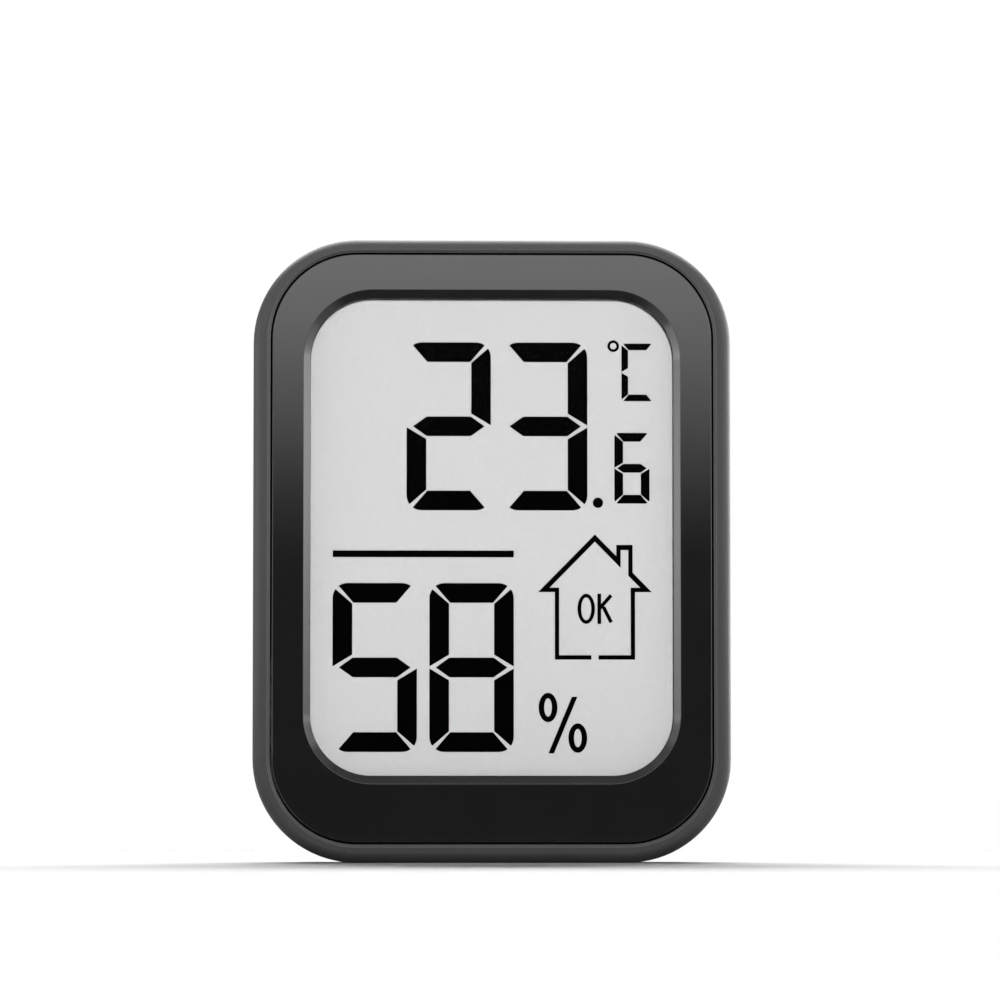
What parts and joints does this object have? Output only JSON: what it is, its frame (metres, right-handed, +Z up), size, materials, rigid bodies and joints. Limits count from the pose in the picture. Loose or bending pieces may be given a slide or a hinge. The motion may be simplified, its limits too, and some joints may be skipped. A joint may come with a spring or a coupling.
{
  "type": "temperature humidity sensor",
  "caption": "Small upright room sensor with a large segment display behind a glossy bezel, and a fold-out stand, coin cell cover and unit button on its back.",
  "frame": {"origin": "on the resting surface, under the middle of the case", "axes": "+Z up, the display faces -Y, +X to the right when looking at the display"},
  "size_m": [0.046, 0.015, 0.06],
  "materials": {
    "case_plastic": "fine matte moulding",
    "bezel_gloss": "piano gloss",
    "clear_window": "clear",
    "display_glass": "clear",
    "polariser_film": "satin film",
    "reflector_grey": "matte film",
    "segment_black": "matte",
    "seal_resin": "matte",
    "black_foam": "matte foam",
    "frame_plastic": "matte",
    "contact_rubber": "satin",
    "board_green": "solder mask",
    "epoxy_black": "satin",
    "chip_ceramic": "matte",
    "stem_white": "satin",
    "button_plastic": "fine matte moulding",
    "spring_metal": "nickel plated",
    "cell_steel": "brushed",
    "bright_metal": "bright plated",
    "screw_steel": "zinc plated"
  },
  "bodies": {
    "housing": {"rear_case": "case_plastic", "front_bezel": "bezel_gloss", "window_tape": "black_foam", "display_window": "clear_window", "lcd_gasket": "black_foam", "lcd_polariser": "polariser_film", "lcd_front_glass": "display_glass", "lcd_segments": "segment_black", "lcd_seal": "seal_resin", "lcd_rear_glass": "display_glass", "lcd_reflector": "reflector_grey", "lcd_frame": "frame_plastic", "zebra_strip": "contact_rubber", "main_board": "board_green", "controller_blob": "epoxy_black", "sensor_chip": "epoxy_black", "clock_crystal": "bright_metal", "chip_parts": "chip_ceramic", "switch_body": "epoxy_black", "negative_contact": "spring_metal", "positive_contact": "spring_metal", "coin_cell": "cell_steel", "magnets": "bright_metal", "case_screws": "screw_steel", "board_screws": "screw_steel"},
    "stand": {"stand": "case_plastic"},
    "battery_cover": {"battery_cover": "case_plastic"},
    "unit_button": {"unit_button": "button_plastic", "switch_stem": "stem_white"}
  },
  "joints": [
    {"name": "stand_hinge", "type": "hinge", "parent": "housing", "child": "stand", "pos_m": [0, 0.00605, 0.02221], "axis": [1, 0, 0], "range_deg": [0, 45]},
    {"name": "battery_cover_turn", "type": "hinge", "parent": "housing", "child": "battery_cover", "pos_m": [0, 0.0065, 0.0376], "axis": [0, 1, 0], "range_deg": [0, 50]},
    {"name": "unit_button_press", "type": "slide", "parent": "housing", "child": "unit_button", "axis": [0, -1, 0], "range_m": [0, 0.0003], "stiffness_N_per_m": 2000}
  ]
}
